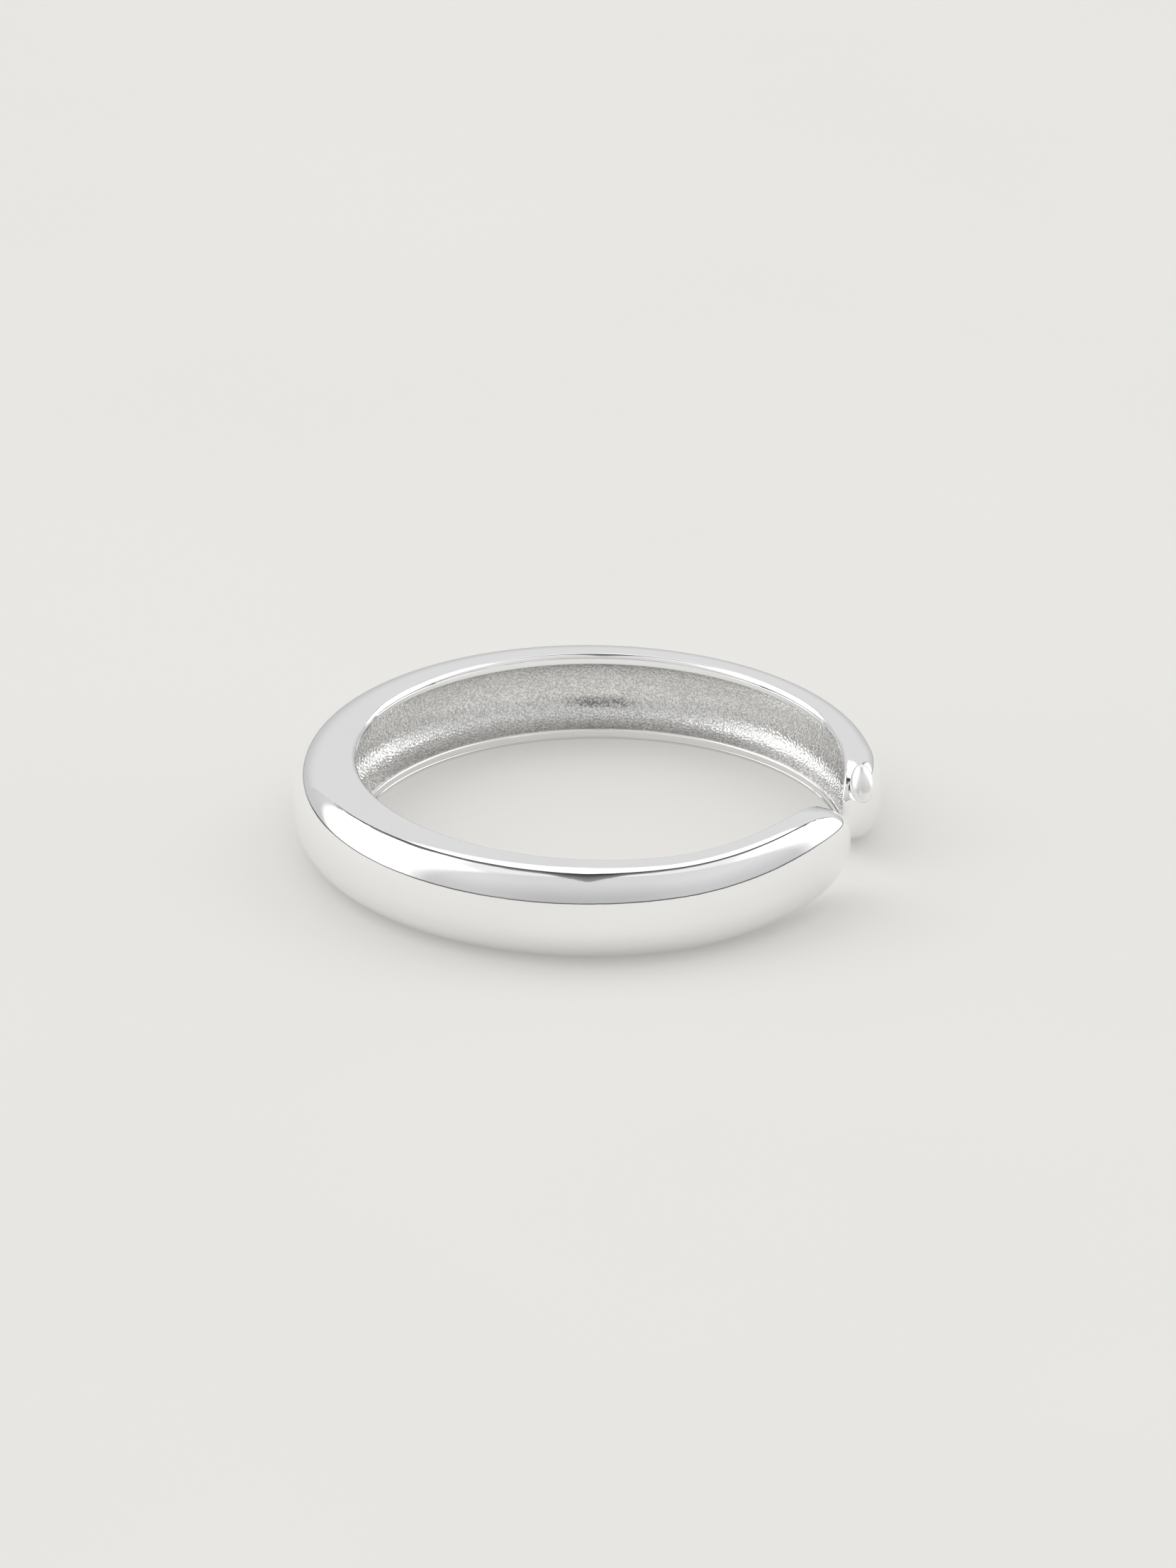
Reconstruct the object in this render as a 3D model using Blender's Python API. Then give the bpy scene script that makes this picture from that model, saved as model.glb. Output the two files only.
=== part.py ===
"""An open bangle: a hollow-backed C-shaped band that lies flat, and an oval bead pegged to one of its ends.

Metres, +Z up. The opening faces +X. The two arms mirror each other in the XZ plane but for their ends:
the front one (-Y) is plain and full, and the back one (+Y) is cut back and carries the bead. The origin
is at the bottom centre of the whole object's box. The band springs open a little on the wrist, so its
arms meet opposite the opening on one upright flexing axis.
"""

import math
from collections import namedtuple

import bmesh
import bpy
from mathutils import Matrix, Vector

MM = 0.001

# Driving dimensions of the band
INNER_RADIUS = 28.5 * MM
HEIGHT_MIDDLE = 11.05 * MM
HEIGHT_TAPER = 0.4 * MM  # taller than the middle at the back, lower by as much at the ends
THICKNESS_MIDDLE = 6.15 * MM
THICKNESS_TAPER = 1.3 * MM
OPENING_HALF_ANGLE = math.radians(7)

# The band's cross-section
FLAT_SHARE = 0.25  # of the thickness: the flat on the top and bottom faces, beside the inner edge
DOME_POWER = 2.55  # 2 would make the outside an ellipse, and more squares it off
EDGE_BEVEL = 0.45 * MM
LIP_HEIGHT = 1.3 * MM  # polished strip above and below the trough, its bevel included
TROUGH_DEPTH_SHARE = 0.56
TROUGH_POWER = 2.3
TROUGH_END_HEIGHT_SHARE = 0.55

# The rounded ends. The front one is full and stands a little higher than its place on a flat ring,
# and the back one is cut back on its outer side, where the bead sits.
Nose = namedtuple("Nose", "side length thickness_power height_power centre_share level_share lift")
FRONT_NOSE = Nose(
    side=-1,
    length=11.0 * MM,
    thickness_power=5.0,  # the higher the power, the fuller the nose
    height_power=2.7,
    centre_share=0.12,  # of the thickness: where the nose comes to its point
    level_share=0.57,  # of the height: how high that point is
    lift=1.4 * MM,
)
BACK_NOSE = Nose(
    side=1,
    length=10.5 * MM,
    thickness_power=1.7,
    height_power=2.3,
    centre_share=0.08,
    level_share=0.63,
    lift=0.0,
)
LIFT_ANGLE = math.radians(50)  # from the opening, over which the lift grows
SOLID_END = 5.0 * MM  # from the end of the band to where the trough starts
TROUGH_RISE_LENGTH = 2.5 * MM

# Where the two arms meet
ARM_GAP = 0.3 * MM
FLEX_AXIS_DEPTH = 1.5 * MM  # inside the outer face

# The bead on the back arm's end, and the peg that carries it
BEAD_RADIUS = 1.4 * MM
BEAD_HALF_LENGTH = 2.3 * MM
BEAD_FULLNESS_SHIFT = 0.12  # how far the widest place lies below the middle, as a share of the half length
BEAD_ANGLE = math.radians(9.2)  # round the ring, from the middle of the opening
BEAD_OUT = 2.45 * MM  # from the inner face to its centre
BEAD_LEVEL = 9.5 * MM
BEAD_GAP = 0.3 * MM  # between the bead and the niche it sits in
BEAD_TURN = math.radians(-65)  # the way it faces, across the opening, from +X
BEAD_LEAN = math.radians(30)  # how far its top leans back over the nose
PEG_RADIUS = 0.5 * MM
PEG_LENGTH = 2.9 * MM  # from the bead's centre, back into the nose
PEG_CLEARANCE = 0.3 * MM
PEG_CHAMFER = 0.12 * MM

# How finely the curves are divided
DOME_STEPS = 12
BEVEL_STEPS = 2
TROUGH_STEPS = 8
ARM_STEPS = 38
NOSE_STEPS = 10
ROUND_SEGMENTS = 20
BEAD_STEPS = 12


def height(theta):
    """Height of the band at an angle from the middle of the opening."""
    return HEIGHT_MIDDLE - HEIGHT_TAPER * math.cos(theta)


def thickness(theta):
    """Thickness of the band, from its inner face to its outermost line."""
    return THICKNESS_MIDDLE - THICKNESS_TAPER * math.cos(theta)


def smoothstep(share):
    share = min(max(share, 0.0), 1.0)
    return share * share * (3 - 2 * share)


def superellipse(angle, power):
    """The cosine and sine of an angle, squared off by the power."""
    cosine = math.cos(angle)
    sine = math.sin(angle)
    return (
        math.copysign(abs(cosine) ** (2 / power), cosine),
        math.copysign(abs(sine) ** (2 / power), sine),
    )


END_RADIUS = INNER_RADIUS + thickness(0) / 2


def nose_root(nose):
    """The angle from the opening at which a nose starts."""
    return OPENING_HALF_ANGLE + nose.length / END_RADIUS


def dome_point(theta, angle):
    """A point of the outside as (out from the inner face, up from mid-height)."""
    deep = thickness(theta)
    flat = FLAT_SHARE * deep
    out, up = superellipse(angle, DOME_POWER)
    return flat + (deep - flat) * out, height(theta) / 2 * up


def section(theta):
    """The band's outline at an angle from the opening, as (out, up) pairs that run once round."""
    half = height(theta) / 2
    from_end = (theta - OPENING_HALF_ANGLE) * END_RADIUS
    rise = math.sqrt(smoothstep((from_end - SOLID_END) / TROUGH_RISE_LENGTH))
    trough_depth = TROUGH_DEPTH_SHARE * thickness(theta) * rise
    narrowing = TROUGH_END_HEIGHT_SHARE + (1 - TROUGH_END_HEIGHT_SHARE) * rise
    trough_half = (half - LIP_HEIGHT) * narrowing
    quarter = math.pi / 2
    upper = [dome_point(theta, quarter * step * 2 / DOME_STEPS) for step in range(DOME_STEPS // 2 + 1)]
    for step in range(BEVEL_STEPS + 1):
        turn = quarter * step / BEVEL_STEPS
        out = EDGE_BEVEL * (1 - math.sin(turn))
        up = half - EDGE_BEVEL * (1 - math.cos(turn))
        upper.append((out, up))
    for step in range(TROUGH_STEPS // 2 + 1):
        out, up = superellipse(quarter * (1 - step * 2 / TROUGH_STEPS), TROUGH_POWER)
        upper.append((trough_depth * out, trough_half * up))
    lower = [(out, -up) for out, up in reversed(upper[1:-1])]
    return upper + lower


def draw_in(nose, theta, power):
    """How far the outline is drawn in towards the nose's point: 1 on the band and 0 at the point."""
    along = max(nose_root(nose) - theta, 0.0) / (nose_root(nose) - OPENING_HALF_ANGLE)
    return max(1 - along**power, 0.0) ** (1 / power)


def band_point(nose, theta, out, up):
    """Where a point of the outline lies on one arm, at an angle from the middle of the opening."""
    centre = nose.centre_share * thickness(theta)
    radius = INNER_RADIUS + centre + (out - centre) * draw_in(nose, theta, nose.thickness_power)
    point_up = (nose.level_share - 0.5) * height(theta)
    level = height(theta) / 2 + point_up + (up - point_up) * draw_in(nose, theta, nose.height_power)
    lift = nose.lift * smoothstep(1 - (theta - OPENING_HALF_ANGLE) / LIFT_ANGLE)
    return Vector((radius * math.cos(theta), nose.side * radius * math.sin(theta), level + lift))


def nose_station(nose, share):
    """The angle from the opening at a share of the nose, with the stations closer towards its point."""
    return nose_root(nose) - (nose_root(nose) - OPENING_HALF_ANGLE) * math.sin(share * math.pi / 2)


def arm_stations(nose):
    body = [math.pi + (nose_root(nose) - math.pi) * step / ARM_STEPS for step in range(ARM_STEPS + 1)]
    return body + [nose_station(nose, step / NOSE_STEPS) for step in range(1, NOSE_STEPS)]


def make_material(name, colour, roughness):
    material = bpy.data.materials.new(name)
    material.use_nodes = True
    shader = material.node_tree.nodes["Principled BSDF"]
    shader.inputs["Base Color"].default_value = (*colour, 1.0)
    shader.inputs["Roughness"].default_value = roughness
    shader.inputs["Metallic"].default_value = 1.0
    return material


def make_object(name, bm, place, material):
    """Turns mesh data, given in world coordinates, into an object that stands at a place."""
    bmesh.ops.recalc_face_normals(bm, faces=bm.faces)
    bm.transform(place.inverted())
    mesh = bpy.data.meshes.new(name)
    bm.to_mesh(mesh)
    bm.free()
    mesh.shade_smooth()
    mesh.set_sharp_from_angle(angle=math.radians(35))
    if material:
        mesh.materials.append(material)
    obj = bpy.data.objects.new(name, mesh)
    obj.matrix_world = place
    bpy.context.scene.collection.objects.link(obj)
    return obj


def make_arm(name, nose, place, material):
    """Half of the band, from its flat end opposite the opening to its rounded nose."""
    bm = bmesh.new()
    loops = []
    for theta in arm_stations(nose):
        points = [band_point(nose, theta, out, up) for out, up in section(theta)]
        loops.append([bm.verts.new(point) for point in points])
    for vert in loops[0]:
        vert.co.y = nose.side * ARM_GAP / 2
    bm.faces.new(loops[0])
    for loop, after in zip(loops, loops[1:]):
        for i in range(len(loop)):
            bm.faces.new((loop[i - 1], loop[i], after[i], after[i - 1]))
    point = bm.verts.new(band_point(nose, OPENING_HALF_ANGLE, 0.0, 0.0))
    for i in range(len(loops[-1])):
        bm.faces.new((loops[-1][i - 1], loops[-1][i], point))
    return make_object(name, bm, place, material)


def bead_place():
    """The bead's frame: its centre, with local -Y pointing back into the nose and Z up along the bead."""
    radius = INNER_RADIUS + BEAD_OUT
    centre = Vector((radius * math.cos(BEAD_ANGLE), radius * math.sin(BEAD_ANGLE), BEAD_LEVEL))
    facing = Matrix.Rotation(BEAD_TURN - math.pi / 2, 4, "Z")
    return Matrix.Translation(centre) @ facing @ Matrix.Rotation(BEAD_LEAN, 4, "X")


def turned(profile, place):
    """Mesh data of a solid turned about its local Z, from (radius, level) pairs that start and end on Z."""
    bm = bmesh.new()
    loops = []
    for radius, level in profile:
        if radius == 0:
            loops.append([bm.verts.new((0, 0, level))] * ROUND_SEGMENTS)
            continue
        turns = [2 * math.pi * i / ROUND_SEGMENTS for i in range(ROUND_SEGMENTS)]
        loops.append([bm.verts.new((radius * math.cos(t), radius * math.sin(t), level)) for t in turns])
    for loop, after in zip(loops, loops[1:]):
        for i in range(ROUND_SEGMENTS):
            corners = dict.fromkeys((loop[i - 1], loop[i], after[i], after[i - 1]))
            bm.faces.new(corners)
    bm.transform(place)
    return bm


def bead_profile(grown=0.0):
    """An egg from top to bottom, a little fuller below its middle."""
    half_length = BEAD_HALF_LENGTH + grown
    profile = [(0, half_length)]
    for step in range(1, BEAD_STEPS):
        angle = math.pi * step / BEAD_STEPS
        level = half_length * (math.cos(angle) - BEAD_FULLNESS_SHIFT * math.sin(angle) ** 2)
        profile.append(((BEAD_RADIUS + grown) * math.sin(angle), level))
    profile.append((0, -half_length))
    return profile


def rod_profile(radius, low, high, chamfer=0.0):
    if not chamfer:
        return [(0, high), (radius, high), (radius, low), (0, low)]
    return [
        (0, high),
        (radius - chamfer, high),
        (radius, high - chamfer),
        (radius, low + chamfer),
        (radius - chamfer, low),
        (0, low),
    ]


def drill(obj, name, cutter_data, place):
    """Cuts a shape out of an object, leaving the cutter hidden."""
    cutter = make_object(name, cutter_data, place, None)
    cutter.hide_render = True
    cutter.display_type = "WIRE"
    cut = obj.modifiers.new(name, "BOOLEAN")
    cut.operation = "DIFFERENCE"
    cut.solver = "EXACT"
    cut.object = cutter


def make_bead_and_peg(arm, material):
    """The bead sits just clear of a niche in the nose, and the peg runs in blind holes in both."""
    bead_centre = bead_place()
    bead = make_object("end_bead", turned(bead_profile(), bead_centre), bead_centre, material)
    along_peg = bead_centre @ Matrix.Rotation(-math.pi / 2, 4, "X")
    rod = rod_profile(PEG_RADIUS, -PEG_LENGTH, 0, PEG_CHAMFER)
    make_object("bead_peg", turned(rod, along_peg), along_peg, material)
    hole = rod_profile(PEG_RADIUS + PEG_CLEARANCE, -PEG_LENGTH - PEG_CLEARANCE, PEG_CLEARANCE)
    drill(arm, "niche_cutter", turned(bead_profile(BEAD_GAP), bead_centre), bead_centre)
    drill(arm, "band_hole_cutter", turned(hole, along_peg), along_peg)
    drill(bead, "bead_hole_cutter", turned(hole, along_peg), along_peg)


def put_origin_at_bottom_centre():
    """Moves everything so that the world's origin is at the bottom centre of the object's box."""
    bpy.context.view_layer.update()
    solids = [obj for obj in bpy.data.objects if not obj.hide_render]
    corners = [obj.matrix_world @ vert.co for obj in solids for vert in obj.data.vertices]
    low = Vector(map(min, zip(*corners)))
    high = Vector(map(max, zip(*corners)))
    shift = Matrix.Translation((-(low.x + high.x) / 2, -(low.y + high.y) / 2, -low.z))
    for obj in bpy.data.objects:
        obj.matrix_world = shift @ obj.matrix_world


def main():
    for obj in list(bpy.data.objects):
        bpy.data.objects.remove(obj, do_unlink=True)
    band_silver = make_material("polished_silver", (0.87, 0.87, 0.86), 0.06)
    bead_silver = make_material("bright_silver", (0.92, 0.92, 0.91), 0.04)
    flex_axis = Matrix.Translation((-(INNER_RADIUS + thickness(math.pi) - FLEX_AXIS_DEPTH), 0, 0))
    make_arm("band_front_arm", FRONT_NOSE, flex_axis, band_silver)
    back_arm = make_arm("band_back_arm", BACK_NOSE, flex_axis, band_silver)
    make_bead_and_peg(back_arm, bead_silver)
    put_origin_at_bottom_centre()


main()
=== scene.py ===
"""The looks of an open bangle: a polished, hollow-backed band and the oval bead on one of its ends.

Everything is in metres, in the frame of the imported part: +Z up, and the opening faces +X.
"""

import math
from collections import namedtuple

import bpy
import numpy as np
from bpy.props import FloatProperty, FloatVectorProperty, PointerProperty
from mathutils import Matrix, Vector


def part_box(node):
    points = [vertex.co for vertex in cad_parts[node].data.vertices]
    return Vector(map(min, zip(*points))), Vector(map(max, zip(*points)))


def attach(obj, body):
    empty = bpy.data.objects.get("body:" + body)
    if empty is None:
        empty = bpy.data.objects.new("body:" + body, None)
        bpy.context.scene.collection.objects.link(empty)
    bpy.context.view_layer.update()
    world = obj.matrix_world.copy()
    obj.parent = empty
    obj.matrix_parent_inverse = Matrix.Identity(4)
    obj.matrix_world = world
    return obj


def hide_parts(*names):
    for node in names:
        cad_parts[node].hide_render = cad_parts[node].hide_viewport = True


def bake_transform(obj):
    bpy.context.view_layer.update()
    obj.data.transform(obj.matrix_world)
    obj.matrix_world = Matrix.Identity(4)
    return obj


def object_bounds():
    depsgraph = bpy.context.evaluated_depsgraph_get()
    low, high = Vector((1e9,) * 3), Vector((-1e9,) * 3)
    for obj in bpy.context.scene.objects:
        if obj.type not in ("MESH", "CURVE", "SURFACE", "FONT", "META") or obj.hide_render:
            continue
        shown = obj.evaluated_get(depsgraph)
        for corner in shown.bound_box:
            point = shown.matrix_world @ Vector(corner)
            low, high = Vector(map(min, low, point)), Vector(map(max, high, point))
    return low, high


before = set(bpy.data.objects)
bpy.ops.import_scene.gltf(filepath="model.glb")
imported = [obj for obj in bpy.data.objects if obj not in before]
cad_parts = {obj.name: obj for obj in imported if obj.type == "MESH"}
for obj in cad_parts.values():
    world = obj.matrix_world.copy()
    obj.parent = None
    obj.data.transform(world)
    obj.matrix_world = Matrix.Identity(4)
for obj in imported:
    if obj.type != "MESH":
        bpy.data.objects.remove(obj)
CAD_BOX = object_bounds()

bl_info = {
    "name": "Open bangle",
    "version": (1, 0, 0),
    "blender": (4, 5, 0),
    "location": "3D View > Sidebar > Bangle",
    "description": "A polished open bangle with a bead on one end, and the table and light it is shown in",
    "category": "Object",
}

MM = 0.001
TINY = 1e-12
QUARTER_TURN = math.pi / 2

# The band's shape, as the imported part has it
HEIGHT_TAPER = 0.4 * MM
THICKNESS_TAPER = 1.3 * MM
OPENING_HALF_ANGLE = math.radians(7)
FLAT_SHARE = 0.25
DOME_POWER = 2.55
EDGE_BEVEL = 0.50 * MM
BEVEL_DEPTH = 0.40 * MM
BEVEL_POWER = 1.35  # flatter than round, which is 2
GROOVE_WIDTH = 0.24 * MM  # a fine line under the bevel
GROOVE_DEPTH = 0.18 * MM
LIP_HEIGHT = 1.3 * MM
LIP_FILLET = 0.25 * MM
FILLET_MOST = 0.5  # of the trough's depth, where that is small
TROUGH_POWER = 2.3
TROUGH_END_HEIGHT_SHARE = 0.55
LIFT_ANGLE = math.radians(50)
SOLID_END = 5.0 * MM
TROUGH_RISE_LENGTH = 2.5 * MM

Nose = namedtuple("Nose", "side length thickness_power height_power centre_share level_share lift")
FRONT_NOSE = Nose(-1, 11.0 * MM, 5.0, 2.7, 0.12, 0.57, 1.4 * MM)
BACK_NOSE = Nose(1, 10.5 * MM, 1.7, 2.3, 0.08, 0.63, 0.0)

# The bead's place on the back end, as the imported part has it
BEAD_FULLNESS_SHIFT = 0.12
BEAD_ANGLE = math.radians(9.2)
BEAD_OUT = 2.45 * MM
BEAD_LEVEL = 9.5 * MM
BEAD_GAP = 0.3 * MM
BEAD_TURN = math.radians(-65)
BEAD_LEAN = math.radians(30)
BEAD_STEPS = 40
BEAD_SEGMENTS = 64
NICHE_SEGMENTS = 48

# The neck between the bead and its niche
NECK_INSIDE_BEAD = 0.5  # where it starts in the bead, as a share of the bead's radius
NECK_INSIDE_NOSE = 0.9 * MM
NECK_FLARE = 0.35 * MM
NECK_FLARE_LENGTH = 0.8 * MM
NECK_STEPS = 24
NECK_SEGMENTS = 40

# How finely the band is divided
STATION_STEP = 0.13 * MM
TIP_LENGTH = 2.2 * MM
TIP_STEPS = 26
DOME_STEPS = 40
FLAT_STEPS = 4
BEVEL_STEPS = 10
GROOVE_STEPS = 4
LIP_STEPS = 5
FILLET_STEPS = 6
TROUGH_STEPS = 50
SHARP_ANGLE = math.radians(50)  # an edge that turns more than this stays sharp

# The trough's texture
PEBBLE_SEED = 11
PEBBLE_VARIETY = 0.32  # how much the ridges differ in spacing, as a share of it
PEBBLE_FULLNESS = 1.3  # how far the ridges and hollows are flattened
PEBBLE_EDGE_STEPS = 5  # the texture fades out over so many steps at the trough's edges
PEBBLE_FIRST_RISE = 0.3  # it starts where the trough has sunk in by this share, at its ends
PEBBLE_FULL_RISE = 0.8

# Painted shade in the trough: darker low down, and most of all in a long, low patch at the back, a painted
# dark reflection
LOW_SHADE_LEVEL = 2.0 * MM
LOW_SHADE_FADE = 3.0 * MM
LOW_SHADE_SHARE = 0.06
# The painted dark reflection: a patch of painted shade at the back of the trough
DARK_REFLECTION_CENTRE = (-8.7 * MM, 30.5 * MM, 3.5 * MM)
DARK_REFLECTION_STRETCH = (1, 1, 6)  # up and down, the distance from its middle counts six times
DARK_REFLECTION_REACH = (2.0 * MM, 5.5 * MM)
DARK_REFLECTION_SHARE = 0.3

# Noise: how many lumps lie in a metre, how finely they are divided, and how they are stretched
SMUDGES = (90, 4.0)
HAIRLINES = (500, 4.0, (1, 1, 9))
SPECKS = (2600, 2.0)
DENTS = (300, 2.0)
GRAINS = (3200, 2.0)
CREASES = (2600, 1.0)
PATCHES = (140, 3.0)
TABLE_CLOUDS = (12, 2.0)
TENT_WRINKLES = (9, 2.0)
NOISE_MIDDLE = 0.5

# From where to where in the noise a mark appears
SMUDGE_RANGE = (0.45, 0.75)
SMUDGE_TARNISH_RANGE = (0.4, 0.8)
HAIRLINE_RANGE = (0.55, 0.8)
SPECK_RANGE = (0.76, 0.80)
PATCH_RANGE = (0.35, 0.7)
CLOUD_RANGE = (0.3, 0.7)
CREASE_HALF_WIDTH = 0.10

# How much the marks add to the roughness, and to the darker share of the colour: tarnish for smudges and
# specks, painted shade for the trough's creases
SMUDGE_ROUGHNESS = 0.035
HAIRLINE_ROUGHNESS = 0.03
SPECK_ROUGHNESS = 0.2
PATCH_ROUGHNESS = 0.08
SMUDGE_TARNISH = 0.06
SPECK_TARNISH = 0.3
# Painted shade in the trough's creases, deeper still in the painted dark reflection
CREASE_SHADE = 0.5
DARK_REFLECTION_CREASE_SHADE = 0.5

# How deep the marks are, and how strongly they show
DENT_BUMP = (0.016 * MM, 0.6)
HAIRLINE_BUMP = (0.0006 * MM, 0.5)
SPECK_BUMP = (0.01 * MM, 0.4)
GRAIN_BUMP = (0.02 * MM, 0.5)
CREASE_BUMP = (0.02 * MM, 0.6)

# The view: how the table is seen
VIEW_TURN = math.radians(18.9)
VIEW_ELEVATION = math.radians(24.6)
VIEW_DISTANCE = 0.720
VIEW_HEIGHT = 0.18433  # what the view spans from top to bottom at that distance
VIEW_LEFT = 1.32 * MM  # where the view's centre lies from the ring's centre
VIEW_UP = 6.41 * MM
FILM_HEIGHT = 36.0
NEAREST_SEEN = 0.01

# The table and the lamp over it
TABLE_RADIUS = 2.5
TABLE_SEGMENTS = 96
TABLE_ROUGHNESS = 0.9
TABLE_SHEEN = 0.1
TABLE_SHADE = 0.985  # how bright the table is in its clouds, as a share of the rest
LAMP_SIZE = 1.3
LAMP_DISTANCE = 1.3
LAMP_AWAY = 0.1  # how far the lamp stands off, to each step up
LAMP_LEFT = 0.05

# The tent that the metal mirrors. Each range says where a part of it begins and ends: in how far a
# direction points up, away, aside or to the camera, or in radians round from the front. For the strip,
# the seam and the gap it is on a flat ceiling one unit up. A brightness of 1 is white.
LOWEST_UP = 0.02
LEFT_TO_RIGHT = (-0.05, 0.05)
FRONT_RISE = (0.05, 0.85)
FRONT_BRIGHTNESS = (0.53, 0.70)
FRONT_SIDES = (0.2, 0.7)
FRONT_SIDES_GAIN = 0.06
OPENING = (0.72, 1.0)
OPENING_LOSS = 0.06
PANEL_START = (1.05, 1.5)
PANEL_END = (0.0, 0.3)
PANEL_TOP = (0.84, 0.93)
PANEL_TOP_SHARE = 0.15
PANEL_SLANTS = (1.15, 0.62)  # how much farther behind the left and the right panel end, higher up
FRONT_BEHIND_PANELS = 0.6  # the front wall's brightness where the panels cover it
LEFT_PANEL_END = 0.42  # how much sooner the left panel ends behind the object than the right one
RIGHT_PANEL_SHIFT = math.radians(20)  # how much farther round the right panel begins than the left one
BACK_RISE = (0.08, 0.38)
BACK_LOW_BRIGHTNESS = 0.58
STRIP_SLOPE = 0.9
STRIP_END = (1.05, 1.17)
STRIP_GAIN = 0.5
SEAM_SLOPE = 1.13
SEAM_START = 0.30
SEAM_WRINKLE = 0.10
SEAM_EDGE = (-0.01, 0.01)
GAP_LEAST = 0.06
GAP_LINE = 0.12
GAP_POINT = (0.0, 0.14)
GAP_POINT_WIDTH = 0.42
GAP_FLARE = (0.12, 0.7)
GAP_FLARE_WIDTH = 0.18
GAP_WRINKLE = 0.5
GAP_WRINKLED = (0.1, 0.4)
GAP_BACK_EDGE = (-0.05, 0.05)
GAP_FRONT_EDGE = (0.85, 1.05)
GAP_BRIGHTNESS = (0.04, 0.30)
GAP_FADE = (1.6, 2.6)
GAP_AT_PANELS = (0.7, 1.0)
GAP_PANEL_EDGE = (0.0, 0.2)
FOOT_RISE = (0.02, 0.05)
FOOT_DEPTH = (0.55, 0.8)
FOOT_SHADE = (0.85, 0.3)

VIEW_RIGHT = Vector((math.cos(VIEW_TURN), math.sin(VIEW_TURN), 0))
VIEW_AWAY = Vector((-math.sin(VIEW_TURN), math.cos(VIEW_TURN), 0))


def toward_camera():
    """The direction from the bangle to the camera."""
    return -VIEW_AWAY * math.cos(VIEW_ELEVATION) + Vector((0, 0, math.sin(VIEW_ELEVATION)))


# ---------------------------------------------------------------- settings


def length(name, description, millimetres):
    """A length that the user can change, given in millimetres."""
    return FloatProperty(
        name=name,
        description=description,
        default=millimetres * MM,
        precision=5,
        subtype="DISTANCE",
        unit="LENGTH",
    )


def share(name, description, default):
    """A number from 0 to 1."""
    return FloatProperty(name=name, description=description, default=default, min=0, max=1, subtype="FACTOR")


def colour(name, description, default):
    """A colour, which may be brighter than white."""
    return FloatVectorProperty(
        name=name, description=description, default=default, min=0, max=4, subtype="COLOR", size=3
    )


def brightness(name, description, default):
    """A brightness, where 1 is white."""
    return FloatProperty(name=name, description=description, default=default, min=0)


class BangleSizes(bpy.types.PropertyGroup):
    """Sizes of the band and the bead."""

    inner_radius: length("Inner radius", "From the ring's centre to the inner face", 28.5)
    height: length("Height", "Height of the band halfway round", 11.05)
    thickness: length("Thickness", "Thickness of the band halfway round", 6.15)
    trough_depth: share("Trough depth", "Depth of the inner trough, as a share of the thickness", 0.56)
    pebble_height: length("Pebble height", "How far the trough's texture stands up and down", 0.018)
    pebble_size: length("Pebble size", "From one ridge of the trough's texture to the next", 0.50)
    bead_radius: length("Bead radius", "Half the bead's width", 1.4)
    bead_half_length: length("Bead half length", "Half the bead's length", 2.3)
    neck_radius: length("Neck radius", "Radius of the neck that holds the bead", 0.5)


class BangleFinish(bpy.types.PropertyGroup):
    """Colours and gloss of the metal."""

    silver: colour("Silver", "Colour of the polished metal", (0.97, 0.97, 0.972))
    tarnish: colour("Tarnish", "Colour of the polished metal in its specks", (0.66, 0.655, 0.645))
    trough_silver: colour("Trough silver", "Colour of the metal in the trough", (0.93, 0.927, 0.92))
    # The trough's painted shade: this colour darkens it low down, in its creases and in the painted dark
    # reflection at the back
    trough_painted_shade: colour("Trough painted shade", "Colour of the trough at its dullest", (0.30, 0.295, 0.29))
    roughness: share("Roughness", "Roughness of the polished metal", 0.035)
    bead_roughness: share("Bead roughness", "Roughness of the bead, which is less polished", 0.32)
    pebble_roughness: share("Trough roughness", "Roughness of the textured trough", 0.20)


class StudioSettings(bpy.types.PropertyGroup):
    """The table, and the light round it."""

    table: colour("Table", "Colour of the table", (0.483, 0.4777, 0.460))
    background: colour("Background", "What shows beyond the table", (0.807, 0.799, 0.768))
    table_glow: share("Table glow", "Stands for the light that the metal throws back on the table", 0.53)
    side_light: brightness("Side light", "Brightness of the side panels", 1.8)
    back_light: brightness("Back light", "Brightness of the wall behind, higher up", 0.73)
    lamp_power: FloatProperty(
        name="Lamp", description="Power of the soft lamp over the table", default=3.5, min=0, unit="POWER"
    )


# ---------------------------------------------------------------- shader expressions


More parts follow.
